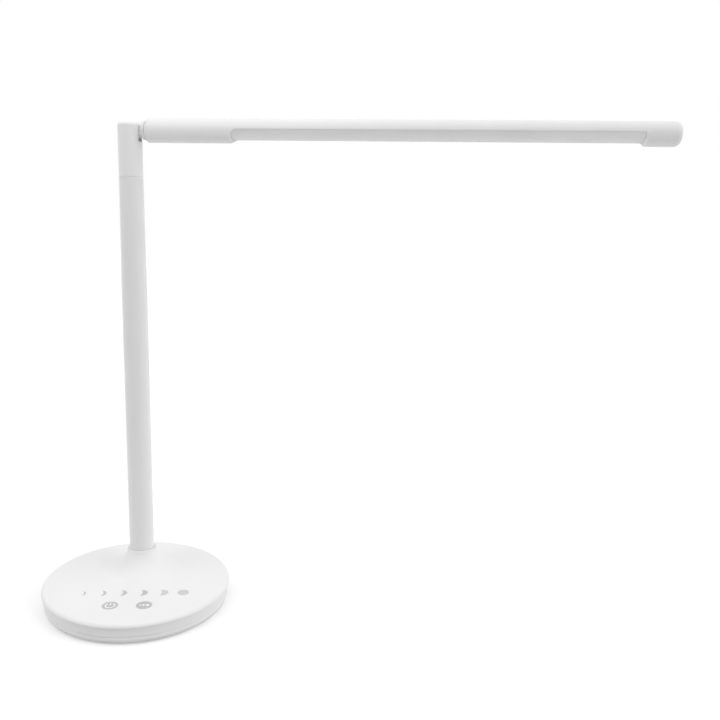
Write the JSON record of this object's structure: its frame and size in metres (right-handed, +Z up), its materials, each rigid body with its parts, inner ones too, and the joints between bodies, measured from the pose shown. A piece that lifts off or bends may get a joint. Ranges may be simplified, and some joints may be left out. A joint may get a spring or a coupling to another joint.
{
  "type": "desk lamp",
  "caption": "Folding desk lamp: round weighted base with touch keys and moon-shaped windows, a turning stem, and a tubular light bar that tips at the stem's head and rolls about its own axis.",
  "frame": {"origin": "centre of the round base at table level, on the underside of its round rubber mat", "axes": "+Z up along the stem, +X to the right along the light bar (which lies 8 degrees in front of it at rest), -Y to the front where the keys are"},
  "size_m": [0.4846, 0.15, 0.3862],
  "materials": {
    "shell_white": "satin white moulding",
    "arm_white": "satin white paint",
    "diffuser_white": "opal, unlit",
    "moon_dark": "translucent grey window",
    "moon_light": "translucent light grey window",
    "key_grey": "translucent grey window",
    "guide_clear": "clear moulding",
    "mat_rubber": "matt black",
    "steel": "bare",
    "weight_steel": "plain sheet",
    "brass": "bare",
    "bearing": "natural acetal",
    "friction_pad": "fibre-filled",
    "circuit_board": "solder-masked board",
    "led_strip": "white solder mask",
    "led_chip": "phosphor",
    "battery_wrap": "shrink wrap",
    "foam": "conductive foam",
    "sink_aluminium": "extruded"
  },
  "bodies": {
    "base": {"base_cover": "shell_white", "base_pan": "shell_white", "weight_plate": "weight_steel", "rubber_mat": "mat_rubber", "cover_screws": "steel", "moon_window_1": "moon_dark", "moon_window_2": "moon_dark", "moon_window_3": "moon_dark", "moon_window_4": "moon_dark", "moon_window_5": "moon_light", "moon_window_6": "moon_light", "power_key": "key_grey", "mode_key": "key_grey", "light_guide": "guide_clear", "indicator_leds": "led_chip", "key_electrodes": "foam", "control_board": "circuit_board", "board_screws": "steel", "battery_pack": "battery_wrap", "charge_board": "circuit_board", "charge_socket": "steel", "swivel_bush": "bearing"},
    "stem": {"stem_tube": "arm_white", "stem_spigot": "steel", "stop_washer": "steel", "spring_washer": "steel", "swivel_nut": "brass", "stem_head": "shell_white", "hinge_screw": "steel", "hinge_cap": "shell_white"},
    "elbow": {"elbow": "shell_white", "hinge_bush": "brass", "friction_washers": "friction_pad", "roll_washer": "bearing", "roll_clip": "steel"},
    "light_bar": {"bar_end_cap": "shell_white", "bar_housing": "shell_white", "heat_sink": "sink_aluminium", "led_board": "led_strip", "leds": "led_chip", "diffuser": "diffuser_white"}
  },
  "joints": [
    {"name": "swivel", "type": "hinge", "parent": "base", "child": "stem", "pos_m": [0, 0.026, 0.02], "axis": [0, 0, 1], "range_deg": [-82, 98]},
    {"name": "fold", "type": "hinge", "parent": "stem", "child": "elbow", "pos_m": [0, 0.026, 0.377], "axis": [0.1392, 0.9903, 0], "range_deg": [-90, 12]},
    {"name": "roll", "type": "hinge", "parent": "elbow", "child": "light_bar", "pos_m": [0, 0.026, 0.377], "axis": [0.9903, -0.1392, 0], "range_deg": [-64, 116]}
  ]
}
